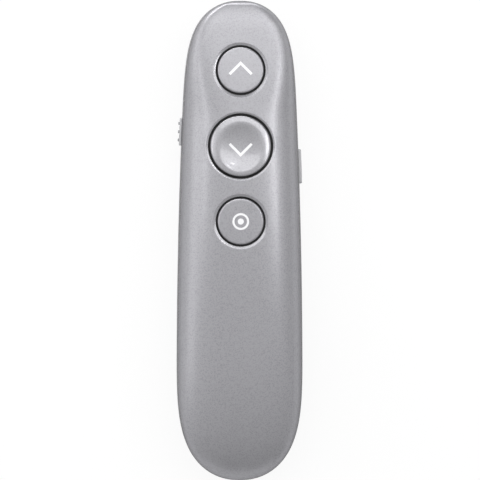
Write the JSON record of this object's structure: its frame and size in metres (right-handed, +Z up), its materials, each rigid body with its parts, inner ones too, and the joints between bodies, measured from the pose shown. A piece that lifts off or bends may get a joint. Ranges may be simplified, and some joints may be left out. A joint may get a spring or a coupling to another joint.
{
  "type": "wireless presentation clicker",
  "caption": "Slim hand-held presentation clicker with round thumb keys, a side slide, a side key, a nose laser, a battery door and a receiver parked in the tail.",
  "frame": {"origin": "centre of the footprint, on the flat underside (z = 0)", "axes": "+X to the user's right in the key-up view, +Y towards the laser end, +Z up out of the thumb keys"},
  "size_m": [0.0342, 0.13, 0.0235],
  "materials": {
    "silver_shell": "silver metallic paint on moulded ABS, satin gloss, fine sparkle",
    "silver_underside": "the same silver metallic paint on the lower shell and the battery door",
    "key_silver": "silver metallic paint, smoother than the body",
    "white_mark": "white inlaid mark",
    "grey_control": "grey moulded side controls",
    "black_bezel": "black moulded bezel around the laser window",
    "window_clear": "clear laser window with a faint red tint",
    "brass_barrel": "turned brass laser barrel",
    "lens_clear": "clear collimating lens",
    "steel_can": "steel cans, screws and battery ends",
    "nickel_contact": "nickel-plated spring sheet",
    "gold_contact": "gold-plated contact strips",
    "board_green": "glass-fibre board under green solder mask",
    "chip_black": "black moulded packages and switch bodies",
    "plunger_white": "off-white switch plungers and levers",
    "wire_red": "red insulated wire",
    "sleeve_grey": "plain printed battery sleeve with no words",
    "tongue_white": "white moulded plug tongue"
  },
  "bodies": {
    "housing": {"top_shell": "silver_shell", "bottom_shell": "silver_underside", "previous_switch": "chip_black", "next_switch": "chip_black", "laser_switch": "chip_black", "main_board": "board_green", "radio_chip": "chip_black", "crystal": "steel_can", "chip_parts": "plunger_white", "power_switch": "chip_black", "side_switch": "chip_black", "laser_barrel": "brass_barrel", "laser_lens": "lens_clear", "laser_diode": "steel_can", "laser_board": "board_green", "laser_wires": "wire_red", "nose_bezel": "black_bezel", "laser_window": "window_clear", "battery_cell": "steel_can", "battery_sleeve": "sleeve_grey", "positive_contact": "nickel_contact", "negative_contact": "nickel_contact", "battery_lead": "wire_red", "housing_screws": "steel_can", "board_screws": "steel_can"},
    "previous_button": {"previous_key": "key_silver", "previous_mark": "white_mark", "previous_plunger": "plunger_white"},
    "next_button": {"next_key": "key_silver", "next_mark": "white_mark", "next_plunger": "plunger_white"},
    "laser_button": {"laser_key": "key_silver", "laser_mark": "white_mark", "laser_plunger": "plunger_white"},
    "side_button": {"side_key": "grey_control", "side_plunger": "plunger_white"},
    "power_slider": {"power_knob": "grey_control", "power_lever": "plunger_white"},
    "door": {"battery_door": "silver_underside"},
    "receiver": {"receiver_cap": "silver_underside", "plug_shell": "steel_can", "receiver_board": "board_green", "plug_tongue": "tongue_white", "plug_contacts": "gold_contact"}
  },
  "joints": [
    {"name": "previous_press", "type": "slide", "parent": "housing", "child": "previous_button", "axis": [0, 0, -1], "range_m": [0, 0.00045], "stiffness_N_per_m": 800, "springref_m": -0.0006},
    {"name": "next_press", "type": "slide", "parent": "housing", "child": "next_button", "axis": [0, 0, -1], "range_m": [0, 0.00045], "stiffness_N_per_m": 800, "springref_m": -0.0006},
    {"name": "laser_press", "type": "slide", "parent": "housing", "child": "laser_button", "axis": [0, 0, -1], "range_m": [0, 0.00045], "stiffness_N_per_m": 800, "springref_m": -0.0006},
    {"name": "side_press", "type": "slide", "parent": "housing", "child": "side_button", "axis": [-1, 0, 0], "range_m": [0, 0.0004], "stiffness_N_per_m": 800, "springref_m": -0.0006},
    {"name": "power_slide", "type": "slide", "parent": "housing", "child": "power_slider", "axis": [0, 1, 0], "range_m": [0, 0.002]},
    {"name": "door_hinge", "type": "hinge", "parent": "housing", "child": "door", "pos_m": [0, -0.0466, 0.00015], "axis": [-1, 0, 0], "range_deg": [0, 50]},
    {"name": "receiver_slide", "type": "slide", "parent": "housing", "child": "receiver", "axis": [0, -1, 0], "range_m": [0, 0.024]}
  ]
}
